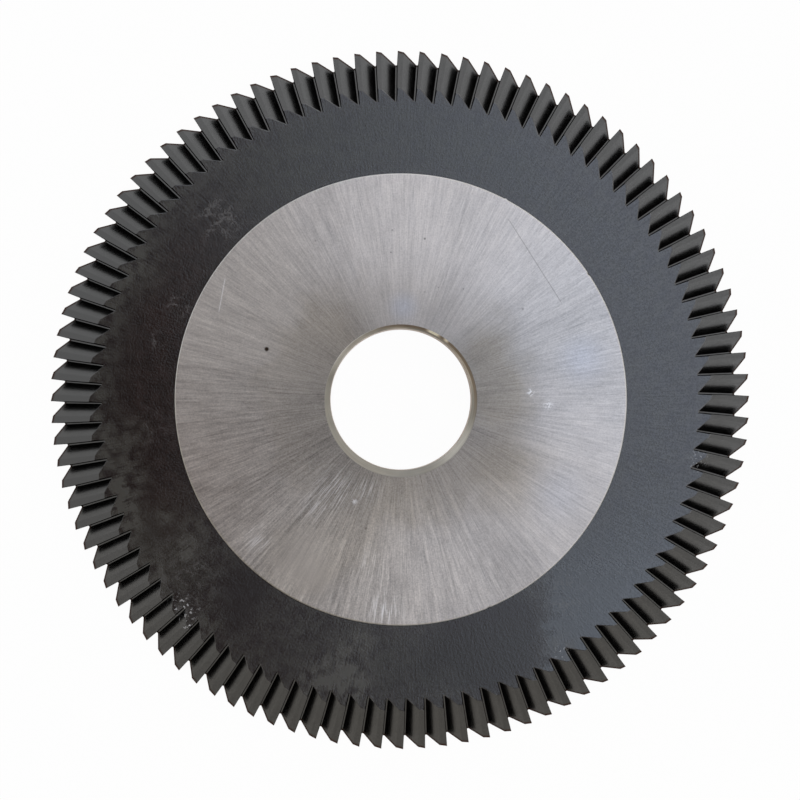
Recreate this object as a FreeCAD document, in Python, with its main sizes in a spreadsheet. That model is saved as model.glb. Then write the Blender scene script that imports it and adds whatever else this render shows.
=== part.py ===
import FreeCAD, Part
import math
import os

import Sketcher

# Key cutting wheel, in millimetres and degrees.
# It is one solid of tool steel: a thick hub with a plain bore, a thinner web round
# it, and a ring of milled teeth on the rim. The axis is Z, and the wheel lies on
# its rear hub face, at height zero, with the origin at the middle of the bore.
# The rim is an uneven vee with a steep front flank and a nearly flat rear one.
# The tooth tips are on the ridge between them, in the tip plane.
# Seen from the front, the teeth cut anticlockwise.

SIZES = {
    # Hub and bore
    "bore_diameter": 16.0,
    "bore_chamfer": 0.5,
    "hub_diameter": 51.0,
    "hub_thickness": 5.0,
    "hub_edge_break": 0.12,
    # How far each hub face stands above the web beside it
    "hub_step": 0.25,
    # Rim: where the tips are, and where the lands of each flank meet the web
    "outer_diameter": 80.0,
    "tip_height": 0.5,
    "front_rim_diameter": 70.3,
    "rear_rim_diameter": 73.0,
    # Teeth, as they are seen along the axis
    "tooth_count": 100,
    "rake_lean": 3.7,
    "back_slope": 43.0,
    "land_relief": 15.0,
    "floor_width": 0.095,
    "foot_break": 0.08,
    # Depth from the tips down to the gullet floor, in the tip plane and at each web
    "tip_gullet_depth": 1.63,
    "front_gullet_depth": 1.47,
    "rear_gullet_depth": 1.34,
    # How far a front gullet turns from the radius as it climbs to the web
    "front_gullet_skew": 1.5,
    # Metal left on the turned rim for milling, and the room that a mill needs beyond it
    "rim_stock": 0.1,
    "mill_overrun": 0.1,
    "mill_headroom": 0.6,
}

# What several features take from the sizes
TIP_RADIUS = "sizes.outer_diameter / 2"
FRONT_RIM_RADIUS = "sizes.front_rim_diameter / 2"
REAR_RIM_RADIUS = "sizes.rear_rim_diameter / 2"
FRONT_WEB = "(sizes.hub_thickness - sizes.hub_step)"
REAR_WEB = "sizes.hub_step"
HALF_PITCH = "(180 / sizes.tooth_count)"

# The ends of an edge, and the origin and axes, as a sketch numbers them
START, END = 1, 2
ORIGIN = (-1, START)
X_AXIS, Y_AXIS = -1, -2

FULL_TURN = 360


class Outline:
    """A sketch of one closed outline, whose edges are known by the corner that they leave."""

    def __init__(self, body, name, plane, corners):
        self.sketch = body.newObject("Sketcher::SketchObject", name)
        self.sketch.AttachmentSupport = (origin_feature(body, plane), "")
        self.sketch.MapMode = "FlatFace"
        self.names = list(corners)
        points = [FreeCAD.Vector(x, y, 0) for x, y in corners.values()]
        for start, end in zip(points, points[1:] + points[:1]):
            self.sketch.addGeometry(Part.LineSegment(start, end), False)
        for edge in range(len(points)):
            self.relate("Coincident", edge, END, (edge + 1) % len(points), START)

    def edge(self, corner):
        """Number of the edge that leaves a corner."""
        return self.names.index(corner)

    def at(self, corner):
        """Edge number and end by which the sketch knows a corner."""
        return self.edge(corner), START

    def relate(self, kind, *parts):
        """Add a constraint that holds no size."""
        self.sketch.addConstraint(Sketcher.Constraint(kind, *parts))

    def measure(self, name, expression, kind, *parts):
        """Add a named dimension that follows an expression."""
        value = float(self.sketch.evalExpression(expression))
        if kind == "Angle":
            value = math.radians(value)
        index = self.sketch.addConstraint(Sketcher.Constraint(kind, *parts, value))
        self.sketch.renameConstraint(index, name)
        self.sketch.setExpression("Constraints." + name, expression)


def origin_feature(body, role):
    """Axis or plane of a body's own origin."""
    return next(feature for feature in body.Origin.OriginFeatures if feature.Role == role)


def size_sheet(document):
    """Spreadsheet that holds the driving dimensions."""
    sheet = document.addObject("Spreadsheet::Sheet", "sizes")
    for row, (alias, value) in enumerate(SIZES.items(), start=1):
        sheet.set("A%d" % row, str(value))
        sheet.setAlias("A%d" % row, alias)
    document.recompute()
    return sheet


def half_section(body, sizes):
    """Half section of the wheel as it is turned, before its teeth are milled."""
    bore = sizes.bore_diameter / 2
    hub = sizes.hub_diameter / 2
    top = sizes.hub_thickness
    front_web = sizes.hub_thickness - sizes.hub_step
    section = Outline(body, "half_section", "XZ_Plane", {
        "rear_mouth": (bore + sizes.bore_chamfer, 0),
        "rear_bore": (bore, sizes.bore_chamfer),
        "front_bore": (bore, top - sizes.bore_chamfer),
        "front_mouth": (bore + sizes.bore_chamfer, top),
        "front_face_end": (hub - sizes.hub_edge_break, top),
        "front_side": (hub, top - sizes.hub_edge_break),
        "front_web": (hub, front_web),
        "front_rim": (sizes.front_rim_diameter / 2, front_web),
        "ridge": (sizes.outer_diameter / 2, sizes.tip_height),
        "rear_rim": (sizes.rear_rim_diameter / 2, sizes.hub_step),
        "rear_web": (hub, sizes.hub_step),
        "rear_side": (hub, sizes.hub_edge_break),
        "rear_face_end": (hub - sizes.hub_edge_break, 0),
    })
    at, measure = section.at, section.measure
    for corner in ("rear_face_end", "front_mouth", "front_web", "rear_rim"):
        section.relate("Horizontal", section.edge(corner))
    for corner in ("rear_bore", "front_side", "rear_web"):
        section.relate("Vertical", section.edge(corner))
    section.relate("PointOnObject", *at("rear_mouth"), X_AXIS)
    measure("thickness", "sizes.hub_thickness", "DistanceY", *ORIGIN, *at("front_mouth"))

    measure("bore_radius", "sizes.bore_diameter / 2", "DistanceX", *ORIGIN, *at("rear_bore"))
    measure("rear_chamfer_width", "sizes.bore_chamfer", "DistanceX", *at("rear_bore"), *at("rear_mouth"))
    measure("rear_chamfer_depth", "sizes.bore_chamfer", "DistanceY", *at("rear_mouth"), *at("rear_bore"))
    measure("front_chamfer_width", "sizes.bore_chamfer", "DistanceX", *at("front_bore"), *at("front_mouth"))
    measure("front_chamfer_depth", "sizes.bore_chamfer", "DistanceY", *at("front_bore"), *at("front_mouth"))

    measure("front_hub_radius", "sizes.hub_diameter / 2", "DistanceX", *ORIGIN, *at("front_side"))
    measure("front_break_width", "sizes.hub_edge_break", "DistanceX", *at("front_face_end"), *at("front_side"))
    measure("front_break_depth", "sizes.hub_edge_break", "DistanceY", *at("front_side"), *at("front_face_end"))
    measure("rear_hub_radius", "sizes.hub_diameter / 2", "DistanceX", *ORIGIN, *at("rear_side"))
    measure("rear_break_width", "sizes.hub_edge_break", "DistanceX", *at("rear_face_end"), *at("rear_side"))
    measure("rear_break_depth", "sizes.hub_edge_break", "DistanceY", *at("rear_face_end"), *at("rear_side"))

    measure("front_web_height", FRONT_WEB, "DistanceY", *ORIGIN, *at("front_web"))
    measure("rear_web_height", REAR_WEB, "DistanceY", *ORIGIN, *at("rear_web"))
    measure("front_rim_radius", FRONT_RIM_RADIUS + " + sizes.rim_stock", "DistanceX", *ORIGIN, *at("front_rim"))
    measure("rear_rim_radius", REAR_RIM_RADIUS + " + sizes.rim_stock", "DistanceX", *ORIGIN, *at("rear_rim"))
    measure("ridge_radius", TIP_RADIUS + " + sizes.rim_stock", "DistanceX", *ORIGIN, *at("ridge"))
    measure("ridge_height", "sizes.tip_height", "DistanceY", *ORIGIN, *at("ridge"))
    return section.sketch


def tip_point(outline):
    """Tooth tip on the X axis, to which an outline in the tip plane is drawn."""
    start = FreeCAD.Vector(outline.sketch.evalExpression(TIP_RADIUS), 0, 0)
    tip = (outline.sketch.addGeometry(Part.Point(start), True), START)
    outline.sketch.setExpression("AttachmentOffset.Base.z", "sizes.tip_height")
    outline.relate("PointOnObject", *tip, X_AXIS)
    outline.measure("tip_radius", TIP_RADIUS, "DistanceX", *ORIGIN, *tip)
    return tip


def gullet_outline(body, sizes):
    """Metal in front of the tooth on the X axis, from its rake face to the next tooth's back."""
    ridge = sizes.outer_diameter / 2
    floor = ridge - sizes.tip_gullet_depth
    top = ridge + sizes.mill_headroom
    floor_end = sizes.foot_break + sizes.floor_width
    back_top = floor_end + sizes.tip_gullet_depth
    gullet = Outline(body, "gullet_outline", "XY_Plane", {
        "rake_top": (top, 0),
        "rake_foot": (floor + sizes.foot_break, 0),
        "floor_start": (floor, sizes.foot_break),
        "floor_end": (floor, floor_end),
        "back_top": (ridge, back_top),
        "side_top": (top, back_top),
    })
    edge, at, measure = gullet.edge, gullet.at, gullet.measure
    tip = tip_point(gullet)
    gullet.relate("PointOnObject", *tip, edge("rake_top"))
    measure("rake_lean", "sizes.rake_lean", "Angle", edge("rake_top"), START, X_AXIS, END)
    measure("headroom", "sizes.mill_headroom", "DistanceX", *tip, *at("rake_top"))
    measure("foot_height", "sizes.foot_break", "DistanceX", *at("floor_start"), *at("rake_foot"))
    measure("foot_width", "sizes.foot_break", "DistanceY", *at("rake_foot"), *at("floor_start"))
    gullet.relate("Vertical", edge("floor_start"))
    measure("depth", "sizes.tip_gullet_depth", "DistanceX", *at("floor_start"), *tip)
    measure("floor_width", "sizes.floor_width", "DistanceY", *at("floor_start"), *at("floor_end"))
    measure("back_slope", "sizes.back_slope", "Angle", edge("floor_end"), START, Y_AXIS, START)
    measure("back_height", "sizes.tip_gullet_depth", "DistanceX", *at("floor_end"), *at("back_top"))
    gullet.relate("Horizontal", edge("back_top"))
    gullet.relate("Vertical", edge("side_top"))
    return gullet.sketch


def relief_outline(body, sizes):
    """Metal above the land of the tooth on the X axis, which falls away behind its tip."""
    ridge = sizes.outer_diameter / 2
    top = ridge + sizes.mill_headroom
    half_pitch = ridge * math.sin(math.pi / sizes.tooth_count)
    relief = Outline(body, "relief_outline", "XY_Plane", {
        "land_start": (ridge, sizes.mill_overrun),
        "land_end": (ridge, -half_pitch),
        "end_top": (top, -half_pitch),
        "start_top": (top, sizes.mill_overrun),
    })
    edge, at, measure = relief.edge, relief.at, relief.measure
    tip = tip_point(relief)
    relief.relate("PointOnObject", *tip, edge("land_start"))
    measure("land_relief", "sizes.land_relief", "Angle", edge("land_start"), START, Y_AXIS, END)
    measure("overrun", "sizes.mill_overrun", "DistanceY", *tip, *at("land_start"))
    measure("reach", "sin(%s) * %s" % (HALF_PITCH, TIP_RADIUS), "DistanceY", *at("land_end"), *tip)
    relief.relate("Horizontal", edge("land_end"))
    relief.relate("Vertical", edge("end_top"))
    relief.relate("Horizontal", edge("start_top"))
    measure("headroom", "sizes.mill_headroom", "DistanceX", *tip, *at("end_top"))
    return relief.sketch


def flank_cut(body, outline, name, inward, rise, skew="0"):
    """Cut an outline of the tip plane along one flank, inward to where it leaves the web."""
    cut = body.newObject("PartDesign::Pocket", name)
    cut.Profile = outline
    cut.UseCustomVector = True
    cut.AlongSketchNormal = True
    cut.setExpression("Direction.x", "-(%s)" % inward)
    cut.setExpression("Direction.y", "(%s) * tan(%s)" % (inward, skew))
    cut.setExpression("Direction.z", rise)
    cut.setExpression("Length", "abs(%s) + sizes.mill_overrun" % rise)
    return cut


def cutting_wheel(document, sizes):
    """The whole wheel: turned to its section, then milled one tooth at a time."""
    body = document.addObject("PartDesign::Body", "cutting_wheel")
    body.Label = "cutting_wheel"
    section = half_section(body, sizes)
    blank = body.newObject("PartDesign::Revolution", "turned_blank")
    blank.Profile = section
    blank.ReferenceAxis = (section, ["V_Axis"])
    blank.Angle = FULL_TURN

    front_rise = FRONT_WEB + " - sizes.tip_height"
    rear_rise = REAR_WEB + " - sizes.tip_height"
    front_land = TIP_RADIUS + " - " + FRONT_RIM_RADIUS
    rear_land = TIP_RADIUS + " - " + REAR_RIM_RADIUS
    front_floor = front_land + " + sizes.front_gullet_depth - sizes.tip_gullet_depth"
    rear_floor = rear_land + " + sizes.rear_gullet_depth - sizes.tip_gullet_depth"
    gullet = gullet_outline(body, sizes)
    relief = relief_outline(body, sizes)
    tooth = [
        flank_cut(body, gullet, "front_gullet", front_floor, front_rise, "sizes.front_gullet_skew"),
        flank_cut(body, gullet, "rear_gullet", rear_floor, rear_rise),
        flank_cut(body, relief, "front_relief", front_land, front_rise),
        flank_cut(body, relief, "rear_relief", rear_land, rear_rise),
    ]
    document.recompute()

    ring = body.newObject("PartDesign::PolarPattern", "tooth_ring")
    ring.Originals = tooth
    ring.Axis = (origin_feature(body, "Z_Axis"), [""])
    ring.Angle = FULL_TURN
    ring.setExpression("Occurrences", "sizes.tooth_count")
    body.Tip = ring
    return body


def check(document, pieces):
    """Stop unless everything was computed and each piece is one sound solid."""
    for item in document.Objects:
        if {"Invalid", "Error"} & set(item.State):
            raise RuntimeError("%s failed: %s" % (item.Label, item.getStatusString()))
    for piece in pieces:
        if piece.Shape.isNull() or not piece.Shape.isValid() or len(piece.Shape.Solids) != 1:
            raise RuntimeError("%s is not one sound solid" % piece.Label)


def main():
    """Build the document and write each piece to its own file."""
    document = FreeCAD.newDocument("key_cutting_wheel")
    sizes = size_sheet(document)
    pieces = [cutting_wheel(document, sizes)]
    document.recompute()
    check(document, pieces)
    os.makedirs("parts", exist_ok=True)
    for piece in pieces:
        piece.Shape.exportStep(os.path.join("parts", piece.Label + ".step"))
        print("%s: %.1f mm3" % (piece.Label, piece.Shape.Volume))


main()
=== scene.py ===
import logging
import math
import random
from dataclasses import dataclass, field
from enum import Enum
from typing import Callable, Dict, List, Optional, Sequence, Tuple, Union

import bpy
import numpy as np
from mathutils import Matrix, Vector


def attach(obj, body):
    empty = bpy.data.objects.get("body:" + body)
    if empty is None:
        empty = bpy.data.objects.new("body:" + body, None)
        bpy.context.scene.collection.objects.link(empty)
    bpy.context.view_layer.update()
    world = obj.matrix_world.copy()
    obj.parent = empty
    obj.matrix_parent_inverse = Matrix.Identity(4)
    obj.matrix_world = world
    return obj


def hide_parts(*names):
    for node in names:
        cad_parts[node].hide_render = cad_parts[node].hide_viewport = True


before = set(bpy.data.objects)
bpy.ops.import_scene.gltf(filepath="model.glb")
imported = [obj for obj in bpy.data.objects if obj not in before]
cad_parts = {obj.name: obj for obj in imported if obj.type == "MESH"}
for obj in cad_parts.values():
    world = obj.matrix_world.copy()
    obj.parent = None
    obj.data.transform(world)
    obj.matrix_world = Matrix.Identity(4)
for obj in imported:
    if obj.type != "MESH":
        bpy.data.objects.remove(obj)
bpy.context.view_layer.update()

log = logging.getLogger("key_cutting_wheel")

MM = 0.001
NODE = "cutting_wheel"
BODY = "root"

Colour = Tuple[float, float, float, float]
Point = Tuple[float, float]
Spot = Tuple[float, float, float]
Rise = Tuple[float, ...]

CURL_WIDTH = 0.0045
SCRATCH_END = 0.4


class Surface(Enum):
    """The finishes of the wheel, in the order of its material slots."""

    HUB = 0
    BORE = 1
    WEB = 2
    TOOTH = 3
    RAKE = 4
    WALL = 5


def operator(operation: str, number_first: bool = False) -> Callable[["Field", "Value"], "Field"]:
    """Make an operator of Field.

    Args:
        operation: what the Math node does.
        number_first: whether the field is on the right of the operator.

    Returns:
        The operator, which adds one Math node.
    """
    def work(own: "Field", other: "Value") -> "Field":
        """Work out the two sides."""
        left, right = (other, own) if number_first else (own, other)
        return own.graph.node("ShaderNodeMath", {"operation": operation}, {0: left, 1: right})

    return work


@dataclass(frozen=True)
class Field:
    """A value that varies over a surface. Maths on it adds the nodes that work it out."""

    graph: "Graph"
    socket: bpy.types.NodeSocket

    __add__, __radd__ = operator("ADD"), operator("ADD", True)
    __sub__, __rsub__ = operator("SUBTRACT"), operator("SUBTRACT", True)
    __mul__, __rmul__ = operator("MULTIPLY"), operator("MULTIPLY", True)
    __truediv__ = operator("DIVIDE")
    __pow__ = operator("POWER")


Value = Union[Field, float, Sequence[float]]


class Graph:
    """The node tree of one finish, of the floor or of the world."""

    def __init__(self, tree: bpy.types.NodeTree) -> None:
        """Start on a tree, which is emptied."""
        self.tree = tree
        tree.nodes.clear()

    def node(self, kind: str, settings: Optional[Dict] = None, inputs: Optional[Dict] = None,
             output: Union[int, str] = 0) -> Field:
        """Add a node, set it up and link it.

        Args:
            kind: the node's type.
            settings: what is set on the node itself, such as a ramp's stops.
            inputs: values or links of its sockets, by name or number.
            output: the socket that is wanted from it.

        Returns:
            The wanted output, or the first input of a node that has none.
        """
        made = self.tree.nodes.new(kind)
        for name, setting in (settings or {}).items():
            if name == "stops":
                self._set_stops(made.color_ramp, setting)
            else:
                setattr(made, name, setting)
        for name, value in (inputs or {}).items():
            if isinstance(value, Field):
                self.tree.links.new(value.socket, made.inputs[name])
            else:
                made.inputs[name].default_value = value
        return Field(self, made.outputs[output] if made.outputs else made.inputs[0])

    @staticmethod
    def _set_stops(ramp: bpy.types.ColorRamp, stops: Sequence[Tuple[float, Colour]]) -> None:
        """Give a colour ramp its stops, each a place and a colour."""
        while len(ramp.elements) < len(stops):
            ramp.elements.new(1.0)
        for element, (place, colour) in zip(ramp.elements, stops):
            element.position = place
            element.color = colour

    def parts(self, vector: Field) -> Tuple[Field, Field, Field]:
        """Split a vector into its three parts."""
        split = self.node("ShaderNodeSeparateXYZ", inputs={0: vector}).socket.node
        return tuple(Field(self, socket) for socket in split.outputs)

    def join(self, across: Value, along: Value, up: Value) -> Field:
        """Make a vector of three values."""
        return self.node("ShaderNodeCombineXYZ", inputs={0: across, 1: along, 2: up})

    def blend(self, share: Value, first: Value, second: Value) -> Field:
        """Mix two colours, with the share of the second one from 0 to 1."""
        return self.node("ShaderNodeMix", {"data_type": "RGBA"}, {0: share, 6: first, 7: second}, 2)

    def tint(self, colour: Value, amount: Field) -> Field:
        """Multiply a colour by a number that varies."""
        grey = self.join(amount, amount, amount)
        return self.node("ShaderNodeMix", {"data_type": "RGBA", "blend_type": "MULTIPLY"},
                         {0: 1.0, 6: colour, 7: grey}, 2)

    def step(self, value: Value, low: float, high: float, bottom: float = 0.0, top: float = 1.0) -> Field:
        """Go smoothly from bottom to top while a value goes from low to high, and stay between them."""
        return self.node("ShaderNodeMapRange", {"interpolation_type": "SMOOTHSTEP"},
                         {0: value, 1: low, 2: high, 3: bottom, 4: top})

    def noise(self, vector: Field, detail: float = 2.0) -> Field:
        """Soft noise from 0 to 1, one unit of the vector to a grain, with finer layers."""
        return self.node("ShaderNodeTexNoise", {"noise_dimensions": "3D"},
                         {"Vector": vector, "Scale": 1.0, "Detail": detail, "Roughness": 0.5})

    def show(self, shader: Field) -> None:
        """Put a shader on the surface."""
        self.node("ShaderNodeOutputMaterial", inputs={"Surface": shader})


def start_finish(name: str) -> Tuple[bpy.types.Material, Graph]:
    """Start a material with an empty graph."""
    made = bpy.data.materials.new(name)
    made.use_nodes = True
    return made, Graph(made.node_tree)


@dataclass(frozen=True)
class Mark:
    """A mark on a face: where it is, how far it reaches and how strong it is, in millimetres and degrees."""

    radius: float
    angle: float
    reach: float
    strength: float = 1.0


Marks = Tuple[Mark, ...]


@dataclass(frozen=True)
class Scratch:
    """A straight scratch: radius and angle of its ends, its reach to each side, and its strength."""

    start: Point
    end: Point
    reach: float
    strength: float


@dataclass(frozen=True)
class Ray:
    """A direction from the axis, how far its fan reaches to each side, and how strong it is, in degrees."""

    angle: float
    width: float
    strength: float = 1.0


@dataclass(frozen=True)
class Pattern:
    """A noise: grains across its run, its seed, grains along its run, and its finer layers."""

    fineness: float
    seed: float
    stretch: float = 0.0
    detail: float = 2.0


@dataclass(frozen=True)
class WheelPlace:
    """Where a point of the wheel is, in millimetres, as a material reads it."""

    graph: Graph
    across: Field
    along: Field
    up: Field
    radius: Field
    turn_x: Field
    turn_y: Field

    @classmethod
    def of(cls, graph: Graph) -> "WheelPlace":
        """Read the place in the graph of a material."""
        spot = graph.node("ShaderNodeTexCoord", output="Object")
        x, y, z = (part * (1 / MM) for part in graph.parts(spot))
        radius = (x * x + y * y) ** 0.5
        return cls(graph, x, y, z, radius, x / radius, y / radius)

    def _drawn(self, round_axis: float, along_radius: float, pattern: Pattern) -> Field:
        """Noise with so many grains in a radian round the axis and in a millimetre along the radius."""
        across, along = self.turn_x * round_axis, self.turn_y * round_axis
        vector = self.graph.join(across, along, self.radius * along_radius + pattern.seed)
        return self.graph.noise(vector, pattern.detail)

    def streaks(self, pattern: Pattern) -> Field:
        """Noise drawn out along the radius."""
        return self._drawn(pattern.fineness, pattern.stretch, pattern)

    def rings(self, pattern: Pattern) -> Field:
        """Noise drawn out round the axis."""
        return self._drawn(pattern.stretch, pattern.fineness, pattern)

    def grain(self, pattern: Pattern) -> Field:
        """Noise that runs no way in particular, so many grains in a millimetre."""
        across, along, up = (part * pattern.fineness for part in (self.across, self.along, self.up))
        return self.graph.noise(self.graph.join(across, along, up + pattern.seed), pattern.detail)

    def fan(self, ray: Ray) -> Field:
        """How near a point is to one direction from the axis.

        Args:
            ray: the direction.

        Returns:
            The ray's strength along the direction, and 0 from its sides outward.
        """
        angle = math.radians(ray.angle)
        along = self.turn_x * math.cos(angle) + self.turn_y * math.sin(angle)
        return self.graph.step(along, math.cos(math.radians(ray.width)), 1.0, 0.0, ray.strength)

    def curls(self, pattern: Pattern) -> Field:
        """Thin curled lines where a noise crosses its middle: 1 on a line and 0 between the lines."""
        away = self.grain(pattern) - 0.5
        return self.graph.step(away * away, 0.0, CURL_WIDTH, 1.0, 0.0)

    def scratch(self, mark: Scratch) -> Field:
        """Strength of a scratch at a point, and 0 beside it."""
        ends = (mark.start, mark.end)
        first, last = (Vector(turned((radius, 0.0), math.radians(angle))) for radius, angle in ends)
        way = (last - first).normalized()
        length = (last - first).length
        from_x, from_y = self.across - first.x, self.along - first.y
        past = from_x * way.x + from_y * way.y
        beside = from_x * way.y - from_y * way.x
        line = self.graph.step(beside * beside, 0.0, mark.reach ** 2, mark.strength, 0.0)
        started = self.graph.step(past, 0.0, SCRATCH_END)
        return line * started * self.graph.step(past, length - SCRATCH_END, length, 1.0, 0.0)

    def patches(self, marks: Marks) -> Field:
        """Strength of a group of marks at a point."""
        total = 0.0
        for mark in marks:
            total = self.near(mark) * mark.strength + total
        return total

    def near(self, mark: Mark) -> Field:
        """How near a mark is: 1 at its middle and 0 from its reach outward."""
        x, y = turned((mark.radius, 0.0), math.radians(mark.angle))
        from_x, from_y = self.across - x, self.along - y
        distance = (from_x * from_x + from_y * from_y) ** 0.5
        return self.graph.step(distance, 0.0, mark.reach, 1.0, 0.0)


@dataclass(frozen=True)
class GroundSteel:
    """Bare steel of the hub, ground with fine marks that run nearly along the radius, with painted
    highlights, painted reflection tints and a painted highlight along its edge.
    """

    colour: Colour = (0.60, 0.58, 0.56, 1.0)
    # warm tint: used for a painted warm reflection to the left, and for warmer steel near the bore and in
    # smears
    warm: Colour = (0.515, 0.475, 0.415, 1.0)
    # colour of the painted cool reflections
    painted_cool_reflection: Colour = (0.56, 0.58, 0.63, 1.0)
    dirt: Colour = (0.05, 0.035, 0.025, 1.0)
    # colour of the painted edge highlight and of the bright marks
    bright: Colour = (0.96, 0.95, 0.93, 1.0)
    roughness: float = 0.26
    anisotropy: float = 0.70
    relief: float = 0.00002
    level: float = 0.68
    contrast: float = 0.56
    fans: Pattern = Pattern(5.0, 3.0, 0.05)
    streaks: Pattern = Pattern(60.0, 11.0, 0.16, 4.0)
    threads: Pattern = Pattern(170.0, 23.0, 0.55)
    speckle: Pattern = Pattern(6.5, 31.0)
    clouds: Pattern = Pattern(0.35, 5.0, detail=4.0)
    ripples: Pattern = Pattern(1.6, 12.0, detail=3.0)
    bore_shade: Rise = (7.5, 19.0, 0.66, 1.0)
    # painted highlights: the ground steel brighter in fans from the axis
    painted_highlight_rays: Tuple[Ray, ...] = (Ray(75.0, 50.0, 0.24), Ray(272.0, 24.0, 0.12))
    # painted highlights along the left and right rims of the hub face
    painted_highlight_left: Ray = Ray(190.0, 65.0, 0.16)
    painted_highlight_left_rise: Rise = (17.0, 25.0)
    painted_highlight_right: Ray = Ray(338.0, 32.0, 0.16)
    painted_highlight_right_rise: Rise = (14.0, 21.0)
    coarse: Ray = Ray(235.0, 75.0, 0.6)
    # where the painted warm reflection falls, and where the painted cool reflection holds it off
    painted_warm_reflection_side: Ray = Ray(200.0, 105.0, 0.85)
    painted_cool_reflection_side: Ray = Ray(80.0, 50.0, 0.8)
    warm_bore: Rise = (11.0, 17.0, 0.6, 0.0)
    # painted highlight along the hub's edge, dimmed towards the lower left
    painted_edge_highlight: Rise = (25.36, 25.41)
    painted_edge_highlight_dim: Ray = Ray(225.0, 60.0, 0.7)
    bundle_lines: Rise = (0.50, 0.60, 0.0, 0.7)
    dark_scratch: Scratch = Scratch((23.7, 58.9), (21.13, 30.1), 0.07, 0.35)
    light_scratch: Scratch = Scratch((24.1, 144.7), (22.7, 154.4), 0.08, 0.55)
    spots: Marks = (
        Mark(16.15, 159.1, 0.36, 1.8), Mark(18.3, 81.1, 0.19, 0.8), Mark(17.1, 36.1, 0.22, 0.5),
        Mark(16.6, 93.5, 0.16, 0.6), Mark(19.1, 92.5, 0.14, 0.6), Mark(15.06, 254.4, 0.24, 0.4),
        Mark(20.3, 118.0, 0.12, 0.5), Mark(13.3, 71.0, 0.13, 0.5), Mark(12.4, 77.0, 0.12, 0.5),
        Mark(14.3, 60.0, 0.14, 0.5),
    )
    smears: Marks = (
        Mark(11.5, 2.0, 5.0, 0.9), Mark(11.0, 28.0, 4.0, 0.6), Mark(15.5, 325.0, 7.0, 0.8),
        Mark(21.3, 238.0, 6.0, 0.7), Mark(17.0, 250.0, 6.0, 0.4),
    )
    # painted reflections: cool-tinted patches of the hub
    painted_reflections: Marks = (
        Mark(10.4, 88.0, 2.4, 0.8), Mark(21.0, 12.0, 4.0, 0.6), Mark(20.5, 328.0, 5.0, 0.4),
    )
    bundles: Marks = (
        Mark(12.6, 233.0, 3.4, 0.8), Mark(15.5, 231.0, 2.6, 0.5), Mark(22.6, 224.0, 2.2, 0.7),
        Mark(23.8, 265.5, 3.0, 1.4), Mark(19.0, 259.0, 3.0, 0.5), Mark(11.0, 250.0, 2.2, 0.6),
    )
    calms: Marks = (Mark(21.3, 237.0, 5.4, 1.1), Mark(22.5, 246.0, 3.6, 0.8))
    waves: Marks = (Mark(14.66, 2.6, 0.7), Mark(16.6, 357.5, 0.8), Mark(12.65, 245.2, 0.5, 0.8))

    def material(self) -> bpy.types.Material:
        """Make the finish."""
        made, graph = start_finish("ground_steel")
        place = WheelPlace.of(graph)
        streaks, threads = place.streaks(self.streaks), place.streaks(self.threads)
        speckle, clouds = place.grain(self.speckle), place.grain(self.clouds)
        fine = (threads + speckle + streaks - 1.5) * self.contrast
        # painted warm reflection to the left, and warmer steel near the bore and in smears
        colour = graph.blend(self._warmth(place, clouds), self.colour, self.warm)
        # painted cool reflections
        colour = graph.blend(place.patches(self.painted_reflections), colour, self.painted_cool_reflection)
        # brightness of the steel, with painted highlights
        colour = graph.tint(colour, self._shade(place, fine, clouds))
        colour = graph.blend(place.patches(self.spots) + place.scratch(self.dark_scratch), colour, self.dirt)
        # painted edge highlight, and bright marks
        colour = graph.blend(self._lines(place, threads * 0.6 + streaks * 0.4), colour, self.bright)
        height = streaks * 0.4 + threads * 0.3 + speckle * 0.3
        bump = graph.node("ShaderNodeBump", inputs={
            "Strength": 0.35, "Distance": self.relief, "Height": height,
        })
        shader = graph.node("ShaderNodeBsdfPrincipled", inputs={
            "Base Color": colour, "Metallic": 1.0, "Anisotropic": self.anisotropy, "Normal": bump,
            "Roughness": self.roughness + streaks * 0.12 + clouds * 0.05,
        })
        graph.show(shader)
        return made

    def _shade(self, place: WheelPlace, fine: Field, clouds: Field) -> Field:
        """How bright the ground steel is: painted highlights in fans from the axis and along the left and
        right rims, and darker towards the bore.
        """
        graph = place.graph
        fine = fine * (1.0 + place.fan(self.coarse) - place.patches(self.calms))
        shade = place.streaks(self.fans) * 0.34 + clouds * 0.24 + fine + self.level
        # add the painted highlight fans
        for ray in self.painted_highlight_rays:
            shade = shade + place.fan(ray)
        # add the painted highlights on the left and right rims
        shade = shade + place.fan(self.painted_highlight_left) * graph.step(place.radius, *self.painted_highlight_left_rise)
        shade = shade + place.fan(self.painted_highlight_right) * graph.step(place.radius, *self.painted_highlight_right_rise)
        return shade * graph.step(place.radius, *self.bore_shade)

    def _lines(self, place: WheelPlace, lines: Field) -> Field:
        """Where the steel has bright lines: a painted highlight along its edge, and bright marks in bundles,
        in a scratch and in ripples.
        """
        graph = place.graph
        # painted highlight along the edge, dimmed towards the lower left
        edge = graph.step(place.radius, *self.painted_edge_highlight) * (0.8 - place.fan(self.painted_edge_highlight_dim))
        bundles = place.patches(self.bundles) * graph.step(lines, *self.bundle_lines)
        ripples = place.patches(self.waves) * place.curls(self.ripples)
        return edge + bundles + ripples + place.scratch(self.light_scratch)

    def _warmth(self, place: WheelPlace, clouds: Field) -> Field:
        """How warm the steel's colour is: a painted warm reflection to the left, held off where a painted
        cool reflection falls at the top, and warmer near the bore and in smears.
        """
        near_bore = place.graph.step(place.radius + (clouds - 0.5) * 8.0, *self.warm_bore)
        warm = place.fan(self.painted_warm_reflection_side) + near_bore + place.patches(self.smears)
        return warm * (1.0 - place.fan(self.painted_cool_reflection_side))


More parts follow.
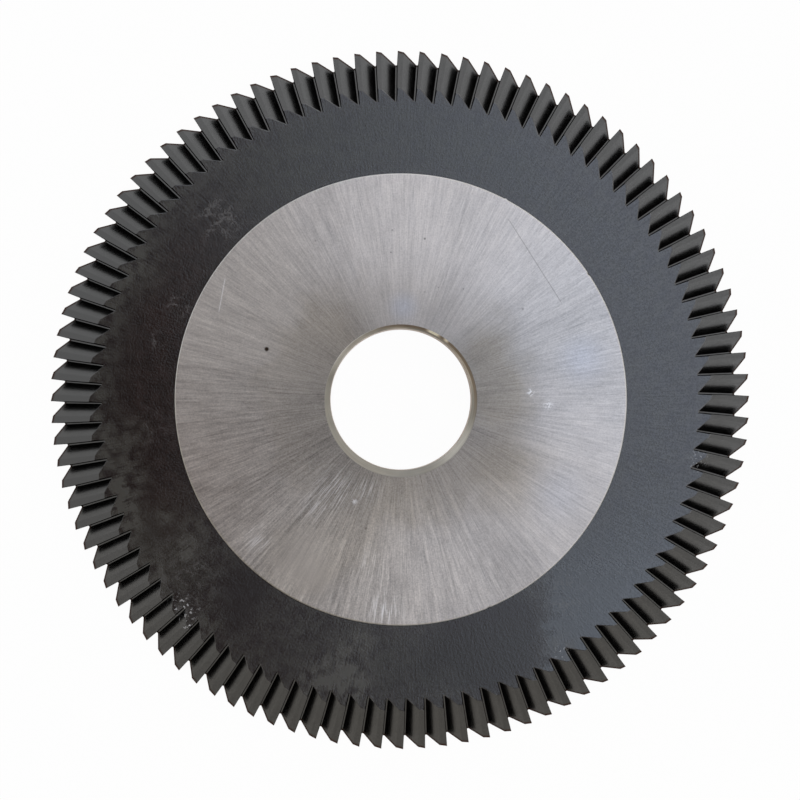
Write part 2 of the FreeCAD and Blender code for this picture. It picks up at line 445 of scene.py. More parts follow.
@dataclass(frozen=True)
class TurnedSteel:
    """Smooth bare steel of the bore's chamfers, partly stained by oil, with painted reflections and painted
    glints.
    """

    colour: Colour = (0.30, 0.285, 0.25, 1.0)
    stain: Colour = (0.24, 0.20, 0.155, 1.0)
    # colour of the painted reflections
    painted_reflection_colour: Colour = (0.62, 0.60, 0.55, 1.0)
    # colour of the painted glints
    glint: Colour = (1.0, 0.96, 0.80, 1.0)
    # colour of the lighter patches
    pale: Colour = (0.50, 0.455, 0.39, 1.0)
    roughness: float = 0.33
    stained: Ray = Ray(48.0, 75.0)
    outer_part: Rise = (4.68, 4.79)
    clouds: Pattern = Pattern(0.5, 7.0)
    turning: Pattern = Pattern(14.0, 9.0, 2.0)
    # the chamfer lighter in two patches
    lighter_patches: Marks = (Mark(8.2, 27.0, 4.2, 1.3), Mark(8.2, 93.0, 2.2, 0.7))
    # painted reflections: lighter patches of the chamfer
    painted_reflections: Marks = (
        Mark(8.3, 318.0, 4.6, 0.9), Mark(8.2, 140.0, 3.6, 0.8), Mark(8.3, 118.0, 2.6, 0.5),
    )
    # painted glints on the outer part of the chamfer
    glints: Marks = (Mark(8.38, 63.5, 1.1, 1.6), Mark(8.4, 52.0, 0.5, 0.8))

    def material(self) -> bpy.types.Material:
        """Make the finish."""
        made, graph = start_finish("turned_steel")
        place = WheelPlace.of(graph)
        clouds, marks = place.grain(self.clouds), place.rings(self.turning)
        outer = graph.step(place.up, *self.outer_part)
        stained = place.fan(self.stained) + (clouds - 0.5) * 0.6
        # lighter in two patches
        colour = graph.blend(place.patches(self.lighter_patches), self.colour, self.pale)
        colour = graph.blend(stained * outer * 1.4, colour, self.stain)
        # painted reflections
        colour = graph.blend(place.patches(self.painted_reflections), colour, self.painted_reflection_colour)
        # painted glints
        colour = graph.blend(place.patches(self.glints) * outer, colour, self.glint)
        colour = graph.tint(colour, 0.60 + clouds * 0.4 + marks * 0.5)
        shader = graph.node("ShaderNodeBsdfPrincipled", inputs={
            "Base Color": colour, "Metallic": 1.0, "Roughness": self.roughness + marks * 0.12,
        })
        graph.show(shader)
        return made


@dataclass(frozen=True)
class BlackOxide:
    """Black oxide with a semi-gloss, rubbed and marked, as on the web and the teeth."""

    name: str = "black_oxide"
    colour: Colour = (0.0010, 0.0009, 0.0009, 1.0)
    rubbed: Colour = (0.0135, 0.0150, 0.0110, 1.0)
    bare: Colour = (0.10, 0.10, 0.10, 1.0)
    fleck: Colour = (0.70, 0.72, 0.74, 1.0)
    roughness: float = 0.14
    index: float = 1.86
    relief: float = 0.00005
    sheen: float = 0.7
    mottle: Pattern = Pattern(0.8, 1.0, detail=5.0)
    dust: Pattern = Pattern(6.0, 2.0)
    threads: Pattern = Pattern(170.0, 17.0, 0.5)
    curled: Pattern = Pattern(1.3, 3.0, detail=3.0)
    chips: Pattern = Pattern(3.0, 8.0, detail=3.0)
    wear_rise: Rise = (0.40, 0.62)
    curl_rise: Rise = (0.40, 0.60)
    chip_rise: Rise = (0.59, 0.65)
    coat_rise: Rise = (0.36, 0.64)
    uncoated: Ray = Ray(168.0, 48.0)
    evened: Ray = Ray(100.0, 60.0, 0.4)
    scuffs: Marks = (
        Mark(28.9, 134.8, 3.8, 1.2), Mark(26.9, 156.6, 2.4, 1.2), Mark(28.3, 165.8, 1.4),
        Mark(31.0, 218.6, 6.5, 0.6), Mark(33.3, 222.8, 2.4, 1.0), Mark(34.3, 347.9, 2.2, 0.7),
        Mark(33.75, 302.0, 1.8, 0.7), Mark(28.8, 308.6, 4.0, 0.5), Mark(30.4, 254.4, 3.0, 0.4),
        Mark(28.0, 186.0, 4.0, 0.3),
    )
    rubs: Marks = (
        Mark(31.0, 208.0, 7.0, 1.2), Mark(31.0, 218.0, 4.0, 0.8), Mark(29.0, 160.0, 3.0, 0.5),
    )
    stills: Marks = (
        Mark(27.6, 230.0, 4.6, 1.4), Mark(31.4, 233.0, 3.0, 0.8), Mark(28.0, 286.0, 6.0, 1.8),
        Mark(28.0, 296.0, 4.6, 2.0), Mark(32.5, 287.0, 4.6, 1.4), Mark(32.0, 294.0, 3.6, 1.4),
        Mark(30.0, 276.0, 4.0, 0.8),
    )
    specks: Marks = (
        Mark(34.0, 223.6, 2.4, 0.7), Mark(35.05, 226.1, 0.7, 2.0), Mark(34.3, 347.9, 1.6, 0.6),
        Mark(33.9, 302.0, 1.2, 0.6),
    )

    def material(self) -> bpy.types.Material:
        """Make the finish."""
        made, graph = start_finish(self.name)
        place = WheelPlace.of(graph)
        mottle, dust, threads = place.grain(self.mottle), place.grain(self.dust), place.streaks(self.threads)
        fine = dust * 0.7 + threads * 0.3
        still = graph.node("ShaderNodeMath", {"operation": "SUBTRACT", "use_clamp": True},
                           {0: 1.0, 1: place.patches(self.stills)})
        lighter_patches = graph.step(fine * 0.5 + mottle * 0.5, *self.wear_rise)
        lighter_patches = lighter_patches + place.patches(self.rubs) * mottle * 2.0
        colour = graph.blend(lighter_patches * still, self.colour, self._rubbed(place))
        colour = self._veiled(place, mottle, threads, colour)
        curls = place.curls(self.curled) * graph.step(mottle, *self.curl_rise)
        colour = graph.blend(place.patches(self.scuffs) * curls * (dust + 0.2), colour, self.bare)
        flecks = graph.step(place.grain(self.chips), *self.chip_rise)
        colour = graph.blend(place.patches(self.specks) * flecks, colour, self.fleck)
        even = place.fan(self.evened)
        coat = graph.step(fine, *self.coat_rise) * (1.0 - even) + even * 0.5
        bump = graph.node("ShaderNodeBump", inputs={"Strength": 0.3, "Distance": self.relief, "Height": fine})
        shader = graph.node("ShaderNodeBsdfPrincipled", inputs={
            "Base Color": self._burnt(place, mottle, colour), "IOR": self.index, "Normal": bump,
            "Roughness": self._rough(place) + mottle * 0.08,
            "Coat Weight": coat * (1.0 - place.fan(self.uncoated)) * still * self.sheen,
            "Coat Roughness": 0.2,
        })
        graph.show(self._outlined(place, shader))
        return made

    def _rubbed(self, place: WheelPlace) -> Value:
        """Colour where the black is rubbed."""
        return self.rubbed

    def _rough(self, place: WheelPlace) -> Value:
        """Roughness before the mottle is added."""
        return self.roughness

    def _veiled(self, place: WheelPlace, mottle: Field, threads: Field, colour: Field) -> Field:
        """Colour with what has dried on it, which is nothing here."""
        return colour

    def _burnt(self, place: WheelPlace, mottle: Field, colour: Field) -> Field:
        """Colour with the edges that milling has laid bare or browned, of which there are none here."""
        return colour

    def _outlined(self, place: WheelPlace, shader: Field) -> Field:
        """Shader with a dull outline, of which there is none here."""
        return shader


@dataclass(frozen=True)
class WebOxide(BlackOxide):
    """Black oxide of the web, with a brown side and with pale veils of dried oil."""

    name: str = "black_oxide_web"
    haze: Colour = (0.044, 0.057, 0.070, 1.0)
    veil: Colour = (0.050, 0.052, 0.045, 1.0)
    brown: Colour = (0.010, 0.0050, 0.0042, 1.0)
    brown_side: Ray = Ray(170.0, 52.0)
    brown_fall: Rise = (29.0, 34.5, 1.0, 0.0)
    smoother: float = 0.045
    veil_rise: Rise = (0.34, 0.62)
    tooth_rise: Rise = (31.4, 34.6)
    tooth_side: Ray = Ray(178.0, 76.0, 0.75)
    border_across: Rise = (15.2, 17.6)
    border_along: Rise = (-25.0, -7.0, 0.85, 0.0)
    veils: Marks = (
        Mark(29.6, 214.5, 2.2, 1.6), Mark(27.6, 211.5, 2.6, 0.6), Mark(32.5, 214.0, 3.6, 0.6),
        Mark(33.8, 203.0, 3.4, 1.2), Mark(30.5, 258.0, 4.4, 1.1), Mark(33.6, 253.0, 4.0, 1.2),
        Mark(33.8, 260.0, 4.0, 1.2), Mark(27.2, 260.5, 2.4, 0.8), Mark(33.4, 302.5, 2.6, 0.6),
        Mark(31.6, 188.5, 4.0, 0.7), Mark(31.8, 196.0, 3.6, 0.8), Mark(33.8, 198.0, 3.2, 1.0),
        Mark(29.6, 206.0, 1.8, 0.9), Mark(29.6, 186.0, 2.2, 0.4), Mark(32.6, 153.0, 4.4, 0.5),
        Mark(33.8, 230.0, 2.4, 0.7),
    )

    def _browned(self, place: WheelPlace) -> Field:
        """How brown the black is: most at the left and towards the hub."""
        return place.fan(self.brown_side) * place.graph.step(place.radius, *self.brown_fall)

    def _rubbed(self, place: WheelPlace) -> Value:
        """Colour where the black is rubbed, browner at the left."""
        return place.graph.blend(self._browned(place), self.rubbed, self.brown)

    def _rough(self, place: WheelPlace) -> Value:
        """Roughness before the mottle is added, lower where the black is brown."""
        return self.roughness - self._browned(place) * self.smoother

    def _veiled(self, place: WheelPlace, mottle: Field, threads: Field, colour: Field) -> Field:
        """Lay pale veils over the web: by the gullets, in spots and beyond a border at the lower right."""
        graph = place.graph
        uneven = graph.step(mottle * 0.7 + threads * 0.3, *self.veil_rise)
        by_teeth = graph.step(place.radius, *self.tooth_rise) * place.fan(self.tooth_side)
        border = graph.step(place.across + (mottle - 0.5) * 5.0, *self.border_across)
        beyond = border * graph.step(place.along, *self.border_along)
        colour = graph.blend(beyond, colour, self.haze)
        return graph.blend((place.patches(self.veils) + by_teeth) * uneven, colour, self.veil)


@dataclass(frozen=True)
class ToothOxide(BlackOxide):
    """Black oxide of the teeth, with bare spots at their upper edges and a brown outline round their tips."""

    name: str = "black_oxide_teeth"
    rubbed: Colour = (0.003, 0.003, 0.003, 1.0)
    burnt: Colour = (0.048, 0.022, 0.014, 1.0)
    roughness: float = 0.21
    index: float = 1.80
    relief: float = 0.00002
    sheen: float = 0.5
    crest: Rise = (4.690, 4.712, 0.0, 0.45)
    crest_wear: Rise = (0.45, 0.62)
    browned: Rise = (0.52, 0.80, 1.0, 0.0)
    outline: Rise = (0.58, 0.84, 0.9, 0.0)

    def _burnt(self, place: WheelPlace, mottle: Field, colour: Field) -> Field:
        """Lay the upper edges bare in spots and brown the tips."""
        graph = place.graph
        crest = graph.step(place.up, *self.crest) * graph.step(mottle, *self.crest_wear)
        colour = graph.blend(crest, colour, self.bare)
        return graph.blend(graph.step(place.up, *self.browned), colour, self.burnt)

    def _outlined(self, place: WheelPlace, shader: Field) -> Field:
        """Shader that turns dull and brown at the tips."""
        graph = place.graph
        dull = graph.node("ShaderNodeBsdfDiffuse", inputs={"Color": self.burnt})
        share = graph.step(place.up, *self.outline)
        return graph.node("ShaderNodeMixShader", inputs={0: share, 1: shader, 2: dull})


@dataclass(frozen=True)
class DullSteel:
    """A finish with hardly any gloss, as of the rake faces and of the wall of the bore."""

    name: str
    colour: Colour
    roughness: float = 0.8
    index: float = 1.05

    def material(self) -> bpy.types.Material:
        """Make the finish."""
        made, graph = start_finish(self.name)
        graph.show(graph.node("ShaderNodeBsdfPrincipled", inputs={
            "Base Color": self.colour, "Roughness": self.roughness, "IOR": self.index,
        }))
        return made


@dataclass(frozen=True)
class ToothRing:
    """The milled teeth, in millimetres and degrees, as they are seen along the axis."""

    count: int = 100
    outer_diameter: float = 80.0
    tip_height: float = 0.5
    front_rim_diameter: float = 70.3
    rear_rim_diameter: float = 73.0
    front_web: float = 4.75
    rear_web: float = 0.25
    rake_lean: float = 3.7
    back_slope: float = 43.0
    land_relief: float = 15.0
    floor_width: float = 0.095
    foot_break: float = 0.08
    tip_gullet_depth: float = 1.63
    front_gullet_depth: float = 1.47
    rear_gullet_depth: float = 1.34
    front_gullet_skew: float = 1.5
    edge_break: float = 0.015
    index_error: float = 0.185
    depth_error: float = 0.075
    shallowest: float = 218.0
    tip_wear: float = 0.025
    depth_spread: float = 0.05
    floor_spread: float = 0.02
    back_steps: int = 2
    foot_steps: int = 3
    seed: int = 7

    @property
    def pitch(self) -> float:
        """Angle from one tooth to the next, in radians."""
        return 2 * math.pi / self.count

    @property
    def columns(self) -> int:
        """Points of the outline in one pitch."""
        return self.back_steps + self.foot_steps + 7

    @property
    def rake_columns(self) -> range:
        """Which stretches of one pitch are the rake face and its foot, counted from the tooth's tip."""
        return range(1, self.foot_steps + 1)

    def edge_columns(self) -> List[int]:
        """Which stretches of one pitch are broken edges, counted from the tooth's tip."""
        foot = range(2, 2 + self.foot_steps)
        floor_end = self.foot_steps + 3
        return [0, *foot, floor_end, floor_end + self.back_steps + 2]

    def shifts(self, height: float) -> Tuple[float, float, float]:
        """How far the flank has come in at a height.

        Args:
            height: height above the rear hub face.

        Returns:
            How far in the lands are, how far in the gullets are, and how far the gullets have turned aside.
        """
        if height > self.tip_height:
            web, rim, depth, skew = (self.front_web, self.front_rim_diameter,
                                     self.front_gullet_depth, self.front_gullet_skew)
        else:
            web, rim, depth, skew = self.rear_web, self.rear_rim_diameter, self.rear_gullet_depth, 0.0
        share = (height - self.tip_height) / (web - self.tip_height)
        land = share * (self.outer_diameter - rim) / 2
        gullet = land + share * (depth - self.tip_gullet_depth)
        return land, gullet, gullet * math.tan(math.radians(skew))

    def gap(self, height: float, wear: "ToothWear", following: "ToothWear", margin: float) -> List[Point]:
        """Outline of the gap in front of the tooth on the X axis, up to the next tooth.

        Args:
            height: height above the rear hub face.
            wear: what sets this tooth apart.
            following: what sets the next one apart.
            margin: how far the outline is moved into the metal.

        Returns:
            Points from this tooth's edge to the end of the next tooth's land.
        """
        land_in, gullet_in, aside = self.shifts(height)
        lean, relief, slope = (math.radians(a) for a in (self.rake_lean, self.land_relief, self.back_slope))
        tip = self.outer_diameter / 2
        land = tip - land_in - margin / math.cos(relief)
        floor = tip - gullet_in - self.tip_gullet_depth + wear.shallow

        def rake(x: float) -> Point:
            """Point of the rake face."""
            return x, aside + (tip - gullet_in - x) * math.tan(lean) - margin / math.cos(lean)

        fall = math.tan(relief)
        start = rake(0.0)[1]
        edge = rake((land - wear.short + fall * start) / (1 + fall * math.tan(lean)))
        corner = rake(floor - margin)
        foot = rake(floor - margin + self.foot_break)
        floor_start = (corner[0], corner[1] + self.foot_break)
        floor_side = (aside + (tip - gullet_in - floor) * math.tan(lean)
                      + self.foot_break + self.floor_width + wear.wide)
        floor_end = (corner[0], floor_side + margin * math.tan(slope / 2))
        land_end = self._land_end(floor_end, slope, land - following.short, fall)
        before = (edge[0] - fall, edge[1] - 1)
        points = [*self._broken(before, edge, foot)]
        shares = [step / self.foot_steps for step in range(self.foot_steps + 1)]
        points += [between(foot, corner, floor_start, share) for share in shares]
        points += [*self._broken(floor_start, floor_end, land_end)]
        for step in range(1, self.back_steps + 1):
            share = step / (self.back_steps + 1)
            points.append((floor_end[0] + share * (land_end[0] - floor_end[0]),
                           floor_end[1] + share * (land_end[1] - floor_end[1])))
        after = turned((land - following.short, 0.0), self.pitch)
        points += [*self._broken(floor_end, land_end, after)]
        return points

    def _land_end(self, floor_end: Point, slope: float, land: float, relief: float) -> Point:
        """Where the next tooth's back meets its land.

        Args:
            floor_end: where the back leaves the gullet floor.
            slope: angle of the back.
            land: where the land meets the next tooth's own axis.
            relief: fall of the land for each millimetre back.

        Returns:
            The corner.
        """
        start = Vector(turned((land, 0.0), self.pitch))
        back = Vector((math.sin(slope), math.cos(slope)))
        down = Vector(turned((-relief, -1.0), self.pitch))
        away = start - Vector(floor_end)
        travel = (away.x * down.y - away.y * down.x) / (back.x * down.y - back.y * down.x)
        return floor_end[0] + back.x * travel, floor_end[1] + back.y * travel

    def _broken(self, before: Point, corner: Point, after: Point) -> Tuple[Point, Point]:
        """Break a corner.

        Args:
            before: a point on the side that comes to it.
            corner: the corner.
            after: a point on the side that leaves it.

        Returns:
            The two points that stand for it.
        """
        middle = Vector(corner)
        into = (Vector(before) - middle).normalized() * self.edge_break
        out = (Vector(after) - middle).normalized() * self.edge_break
        return tuple(middle + into), tuple(middle + out)

    def wears(self) -> List["ToothWear"]:
        """Draw what sets each tooth apart, with one entry for each tooth."""
        draw = random.Random(self.seed)
        wears = []
        for tooth in range(self.count):
            runout = self.depth_error * math.cos(tooth * self.pitch - math.radians(self.shallowest))
            short = draw.uniform(0, self.tip_wear)
            shallow = runout + draw.uniform(-self.depth_spread, self.depth_spread)
            wears.append(ToothWear(short, shallow, draw.uniform(-self.floor_spread, self.floor_spread)))
        return wears

    def turn(self, tooth: int) -> float:
        """Angle of a tooth, with the small error that the wheel was milled with."""
        even = tooth * self.pitch
        return even + math.radians(self.index_error) * math.cos(even)

    def outline(self, height: float, margin: float = 0.0) -> List[Point]:
        """Outline of the whole ring at a height.

        Args:
            height: height above the rear hub face.
            margin: how far it is moved into the metal.

        Returns:
            Points round the wheel, anticlockwise.
        """
        wears = self.wears()
        points = []
        for tooth, wear in enumerate(wears):
            following = wears[(tooth + 1) % self.count]
            points += [turned(point, self.turn(tooth)) for point in self.gap(height, wear, following, margin)]
        return points


@dataclass(frozen=True)
class ToothWear:
    """Small differences of one tooth, in millimetres."""

    short: float
    shallow: float
    wide: float


def turned(point: Point, angle: float) -> Point:
    """Turn a point about the axis, anticlockwise, by an angle in radians."""
    c, s = math.cos(angle), math.sin(angle)
    return point[0] * c - point[1] * s, point[0] * s + point[1] * c


def between(start: Point, pull: Point, end: Point, share: float) -> Point:
    """Point at a share of a curve that leaves its start and reaches its end drawn towards a corner."""
    first, middle, last = (1 - share) ** 2, 2 * (1 - share) * share, share * share
    return tuple(first * a + middle * b + last * c for a, b, c in zip(start, pull, end))


@dataclass(frozen=True)
class Loop:
    """One closed loop of points round the axis, and the band from it to the next loop."""

    points: List[Spot]
    finish: Surface
    is_edge: bool = False


@dataclass
class CuttingWheel:
    """The whole wheel: hub, bore, web and teeth, in millimetres."""

    bore_diameter: float = 16.0
    bore_chamfer: float = 0.5
    mouth_radius: float = 8.58
    mouth_shift: Point = (-0.015, -0.17)
    hub_diameter: float = 51.0
    hub_thickness: float = 5.0
    hub_edge_break: float = 0.12
    soft_edge: float = 0.03
    web_edge_break: float = 0.06
    web_margin: float = 0.4
    front_drop: float = 0.042
    rear_rise: float = 0.006
    teeth: ToothRing = field(default_factory=ToothRing)
    face_rings: int = 22
    rear_rings: int = 6
    web_rings: int = 5
    pit: Mark = Mark(16.15, 159.1, 0.36, 0.16)
    nicks: Marks = (
        Mark(25.5, 61.9, 0.20, -0.09), Mark(25.5, 33.3, 0.24, 0.08), Mark(25.5, 292.4, 0.26, 0.06),
    )

    def build(self) -> bpy.types.Object:
        """Build and dress the wheel."""
        loops = self._loops()
        count = len(loops[0].points)
        edge_columns = self.teeth.edge_columns()
        vertices = [tuple(part * MM for part in spot) for loop in loops for spot in loop.points]
        faces, finishes, edges = [], [], []
        for index, loop in enumerate(loops):
            start = index * count
            following = (index + 1) % len(loops) * count
            for column in range(count):
                beside = (column + 1) % count
                faces.append((start + column, following + column, following + beside, start + beside))
                on_tooth = loop.finish is Surface.TOOTH
                own = column % self.teeth.columns
                on_rake = on_tooth and own in self.teeth.rake_columns
                finishes.append(Surface.RAKE.value if on_rake else loop.finish.value)
                is_uneven = loop.points[column][2] != loop.points[beside][2]
                edges.append(loop.is_edge or is_uneven or on_tooth and own in edge_columns)
        mesh = bpy.data.meshes.new("wheel")
        mesh.from_pydata(vertices, [], faces)
        mesh.polygons.foreach_set("material_index", finishes)
        mesh.polygons.foreach_set("use_smooth", [True] * len(faces))
        mesh.update()
        mesh.normals_split_custom_set_from_vertices(facet_normals(mesh, np.array(edges)))
        for finish in self._finishes():
            mesh.materials.append(finish)
        wheel = bpy.data.objects.new("wheel", mesh)
        bpy.context.scene.collection.objects.link(wheel)
        return wheel

    @staticmethod
    def _finishes() -> List[bpy.types.Material]:
        """Make the finishes, in the order of Surface."""
        return [
            GroundSteel().material(),
            TurnedSteel().material(),
            WebOxide().material(),
            ToothOxide().material(),
            DullSteel("milled_black", (0.0015, 0.0013, 0.0012, 1.0)).material(),
            DullSteel("bore_wall", (0.74, 0.67, 0.60, 1.0), 0.6).material(),
        ]

    def _loops(self) -> List[Loop]:
        """List the loops round the section, from the bore over the front to the rear."""
        teeth = self.teeth
        count = teeth.columns * teeth.count
        angles = [2 * math.pi * column / count for column in range(count)]
        bore, mouth = self.bore_diameter / 2, self.bore_diameter / 2 + self.bore_chamfer
        hub = self.hub_diameter / 2
        thick = self.hub_thickness
        face_end = hub - self.hub_edge_break
        fine = self.soft_edge

        def circle(radius: float, height: float, finish: Surface, is_edge: bool = False,
                   shift: Point = (0.0, 0.0)) -> Loop:
            """Make a round loop."""
            points = []
            for angle in angles:
                inset = self._nicked(radius, angle)
                x, y = turned((radius - inset, 0.0), angle)
                points.append((shift[0] + x, shift[1] + y, height - self._pitted(radius, angle, height)))
            return Loop(points, finish, is_edge)

        front = [
            circle(bore, thick / 2, Surface.WALL),
            circle(bore, thick - self.bore_chamfer - fine, Surface.BORE, True),
            circle(bore + fine, thick - self.bore_chamfer + fine, Surface.BORE),
            circle(self.mouth_radius - fine, thick - fine, Surface.BORE, True, self.mouth_shift),
            circle(self.mouth_radius + fine, thick, Surface.HUB, False, self.mouth_shift),
        ]
        span = face_end - self.mouth_radius
        radii = [self.mouth_radius + span * step / self.face_rings for step in range(1, self.face_rings)]
        half = self.pit.reach / 2
        near, far = self.pit.radius - half, self.pit.radius + half
        radii += [near, near + fine, far - fine, far]
        pit_edges = (near, far - fine)
        front += [circle(radius, thick, Surface.HUB, radius in pit_edges) for radius in sorted(radii)]
        front += [
            circle(face_end - fine, thick, Surface.HUB, True),
            circle(face_end + fine, thick - fine, Surface.HUB),
            circle(hub - fine, thick - self.hub_edge_break + fine, Surface.HUB, True),
            circle(hub, thick - self.hub_edge_break - fine, Surface.WEB),
            circle(hub, teeth.front_web + fine, Surface.WEB, True),
        ]
        front += self._web(teeth.front_web, Surface.TOOTH)
        ring = self._tooth_loops()
        rear = list(reversed(self._web(teeth.rear_web, Surface.WEB)))
        rear[-1] = Loop(rear[-1].points, Surface.WEB, True)
        rear += [
            circle(hub, teeth.rear_web - fine, Surface.WEB),
            circle(hub, self.hub_edge_break + fine, Surface.HUB, True),
            circle(hub - fine, self.hub_edge_break - fine, Surface.HUB),
            circle(face_end + fine, fine, Surface.HUB, True),
            circle(face_end - fine, 0.0, Surface.HUB),
        ]
        for step in range(1, self.rear_rings):
            radius = face_end + (mouth - face_end) * step / self.rear_rings
            rear.append(circle(radius, 0.0, Surface.HUB))
        rear += [
            circle(mouth + fine, 0.0, Surface.BORE, True),
            circle(mouth - fine, fine, Surface.BORE),
            circle(bore + fine, self.bore_chamfer - fine, Surface.BORE, True),
            circle(bore, self.bore_chamfer + fine, Surface.WALL),
        ]
        return front + ring + rear

    def _pitted(self, radius: float, angle: float, height: float) -> float:
        """How deep the pit is at a point of the front hub face.

        Args:
            radius: radius of the point.
            angle: its angle in radians.
            height: height of the face there.

        Returns:
            Depth of the pit, and 0 beside it or on any other face.
        """
        aside = abs(angle - math.radians(self.pit.angle)) * radius
        beyond = max(aside, abs(radius - self.pit.radius)) > self.pit.reach / 2 - self.soft_edge / 2
        return 0.0 if beyond or height < self.hub_thickness else self.pit.strength

    def _nicked(self, radius: float, angle: float) -> float:
        """How far a nick comes in at a point of the hub's edge.

        Args:
            radius: radius of the point.
            angle: its angle in radians.

        Returns:
            Depth of the nick, less than 0 for a burr, and 0 away from the edge.
        """
        inset = 0.0
        for nick in self.nicks:
            aside = abs(angle - math.radians(nick.angle)) * radius / nick.reach
            if aside < 1 and abs(radius - nick.radius) < 2 * self.hub_edge_break:
                inset += nick.strength * (1 - aside * aside)
        return inset

    def _web(self, height: float, edge_finish: Surface) -> List[Loop]:
        """Loops over a web, from the hub to its toothed edge.

        Args:
            height: height of the web.
            edge_finish: the finish from its last loop on.

        Returns:
            The loops.
        """
        shrunk = self.teeth.outline(height, self.web_edge_break)
        count = len(shrunk)
        inner = self.hub_diameter / 2 + self.soft_edge
        outer = min(math.hypot(*point) for point in shrunk) - self.web_margin
        loops = []
        for step in range(self.web_rings):
            share = step / (self.web_rings - 1)
            radius = inner + (outer - inner) * share
            points = []
            for column, point in enumerate(shrunk):
                even = 2 * math.pi * column / count
                aside = (math.atan2(point[1], point[0]) - even + math.pi) % (2 * math.pi) - math.pi
                angle = even + aside * share
                points.append((radius * math.cos(angle), radius * math.sin(angle), height))
            loops.append(Loop(points, Surface.WEB))
        is_edge = edge_finish is Surface.TOOTH
        loops.append(Loop([(x, y, height) for x, y in shrunk], edge_finish, is_edge))
        return loops

    def _tooth_loops(self) -> List[Loop]:
        """Loops down the front flank, over the tips and up the rear flank."""
        teeth = self.teeth
        front_run = teeth.front_web - teeth.tip_height
        rear_run = teeth.tip_height - teeth.rear_web
        front_land = (teeth.outer_diameter - teeth.front_rim_diameter) / 2
        rear_land = (teeth.outer_diameter - teeth.rear_rim_diameter) / 2
        heights = [
            teeth.front_web - self.front_drop,
            teeth.front_web - front_run / 2,
            teeth.tip_height + teeth.edge_break * front_run / front_land,
            teeth.tip_height - teeth.edge_break * rear_run / rear_land,
            teeth.rear_web + self.rear_rise,
        ]
        edges = (False, False, True, False, True)
        return [Loop([(x, y, height) for x, y in teeth.outline(height)], Surface.TOOTH, is_edge)
                for height, is_edge in zip(heights, edges)]


def facet_normals(mesh: bpy.types.Mesh, edges: np.ndarray) -> np.ndarray:
    """Normals that keep facets flat and shade only the broken edges between them.

    Args:
        mesh: a mesh of quads.
        edges: for each face, whether it is a broken edge.

    Returns:
        One normal for each vertex.
    """
    faces = np.zeros(len(mesh.polygons) * 4, int)
    mesh.polygons.foreach_get("vertices", faces)
    faces = faces.reshape(-1, 4)
    spots = np.zeros(len(mesh.vertices) * 3)
    mesh.vertices.foreach_get("co", spots)
    spots = spots.reshape(-1, 3)
    across = np.cross(spots[faces[:, 2]] - spots[faces[:, 0]], spots[faces[:, 3]] - spots[faces[:, 1]])
    facets, every = np.zeros_like(spots), np.zeros_like(spots)
    for corner in range(4):
        np.add.at(facets, faces[~edges, corner], across[~edges])
        np.add.at(every, faces[:, corner], across)
    found = np.linalg.norm(facets, axis=1) > 0
    normals = np.where(found[:, None], facets, every)
    return normals / np.linalg.norm(normals, axis=1)[:, None]


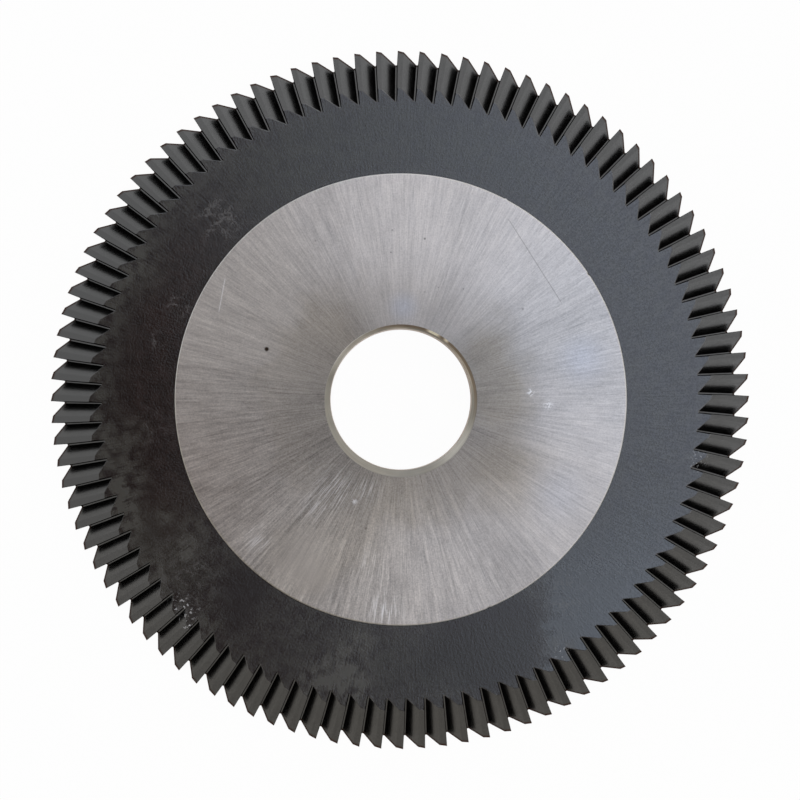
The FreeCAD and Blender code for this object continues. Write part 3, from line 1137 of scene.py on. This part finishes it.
@dataclass(frozen=True)
class Studio:
    """Pale floor, soft light and the camera over the wheel."""

    floor_size: float = 3.0
    camera_height: float = 290.0
    camera_right: float = -3.6
    camera_up: float = -2.5
    frame_width: float = 91.55
    frame_right: float = -0.055
    frame_up: float = -0.045
    tip_height: float = 0.5
    roll: float = 0.44
    sensor: float = 36.0
    floor_white: Colour = (0.95, 0.95, 0.95, 1.0)
    floor_share: float = 0.97
    low_dim: Colour = (0.56, 0.53, 0.48, 1.0)
    low_bright: Colour = (0.88, 0.89, 0.90, 1.0)
    low_from: Point = (0.12, 0.9)
    low_rise: Rise = (-1.0, 0.35)
    high_from: Point = (0.94, 0.34)
    high_rise: Rise = (0.25, 0.75)
    high_stops: Tuple[Tuple[float, Colour], ...] = (
        (0.28, (0.30, 0.26, 0.22, 1.0)), (0.40, (0.085, 0.050, 0.045, 1.0)),
        (0.455, (0.092, 0.034, 0.022, 1.0)), (0.477, (0.165, 0.120, 0.108, 1.0)),
        (0.51, (0.57, 0.585, 0.60, 1.0)), (0.543, (1.02, 1.13, 1.35, 1.0)),
        (0.575, (1.04, 1.16, 1.42, 1.0)), (0.63, (1.06, 1.10, 1.22, 1.0)),
        (0.72, (1.10, 1.04, 0.98, 1.0)),
    )

    def floor(self) -> bpy.types.Object:
        """Lay the floor."""
        half = self.floor_size / 2
        mesh = bpy.data.meshes.new("floor")
        corners = [(-half, -half, 0), (half, -half, 0), (half, half, 0), (-half, half, 0)]
        mesh.from_pydata(corners, [], [(0, 1, 2, 3)])
        made = bpy.data.objects.new("floor", mesh)
        bpy.context.scene.collection.objects.link(made)
        mesh.materials.append(self._floor_finish())
        return made

    def _side_light(self, graph: Graph, x: Field, y: Field) -> Field:
        """Light from low down, as it comes from the right (x) or from above the picture (y), from -1 to 1."""
        side = graph.step(x * self.low_from[0] + y * self.low_from[1], *self.low_rise)
        return graph.blend(side, self.low_dim, self.low_bright)

    def _floor_finish(self) -> bpy.types.Material:
        """Make the white floor, which shows white to the camera and keeps a soft shadow."""
        made, graph = start_finish("floor_white")
        path = graph.node("ShaderNodeLightPath", output="Is Camera Ray")
        glossy = graph.node("ShaderNodeLightPath", output="Is Glossy Ray")
        x, y, _ = graph.parts(graph.node("ShaderNodeTexCoord", output="Object"))
        from_axis = (x * x + y * y) ** 0.5
        low = self._side_light(graph, x / from_axis, y / from_axis)
        shown = graph.blend(glossy, (1.0, 1.0, 1.0, 1.0), low)
        plain = graph.node("ShaderNodeBsdfDiffuse", inputs={"Color": self.floor_white})
        bright = graph.node("ShaderNodeEmission", inputs={"Color": shown, "Strength": 1.0})
        seen = path * self.floor_share
        share = graph.node("ShaderNodeMath", {"operation": "MAXIMUM"}, {0: seen, 1: glossy})
        both = graph.node("ShaderNodeMixShader", inputs={0: share, 1: plain, 2: bright})
        graph.show(both)
        return made

    def light(self) -> None:
        """Light the scene from a pale horizon and an overhead light that is graded across."""
        world = bpy.data.worlds.new("studio")
        bpy.context.scene.world = world
        world.use_nodes = True
        graph = Graph(world.node_tree)
        way = graph.node("ShaderNodeTexCoord", output="Generated")
        x, y, z = graph.parts(way)
        across = (x * self.high_from[0] + y * self.high_from[1]) * 0.5 + 0.5
        above = graph.node("ShaderNodeValToRGB", {"stops": self.high_stops}, {0: across})
        level = graph.step(z, *self.high_rise)
        both = graph.blend(level, self._side_light(graph, x, y), above)
        shader = graph.node("ShaderNodeBackground", inputs={"Color": both, "Strength": 1.0})
        graph.node("ShaderNodeOutputWorld", inputs={"Surface": shader})

    def camera(self) -> None:
        """Aim the camera down at the wheel from beside its axis."""
        lens = bpy.data.cameras.new("camera")
        lens.sensor_width = self.sensor
        lens.lens = self.sensor * self.camera_height / self.frame_width
        lens.clip_start = 0.01
        lens.clip_end = 10.0
        made = bpy.data.objects.new("camera", lens)
        bpy.context.scene.collection.objects.link(made)
        place = Vector((self.camera_right, self.camera_up, self.tip_height + self.camera_height)) * MM
        back = (place - Vector((self.frame_right, self.frame_up, self.tip_height)) * MM).normalized()
        roll = math.radians(self.roll)
        right = Vector((math.sin(roll), math.cos(roll), 0.0)).cross(back).normalized()
        made.matrix_world = Matrix((right, back.cross(right), back)).transposed().to_4x4()
        made.location = place
        bpy.context.scene.camera = made


def main() -> None:
    """Build the studio and the wheel, and log how many faces the wheel has."""
    logging.basicConfig(level=logging.INFO, format="%(name)s: %(message)s")
    scene = bpy.context.scene
    scene.view_settings.view_transform = "Standard"
    studio = Studio()
    studio.camera()
    studio.light()
    studio.floor()
    wheel = CuttingWheel().build()
    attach(wheel, BODY)
    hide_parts(NODE)
    log.info("%s: %d faces", wheel.name, len(wheel.data.polygons))


if __name__ == "__main__":
    main()
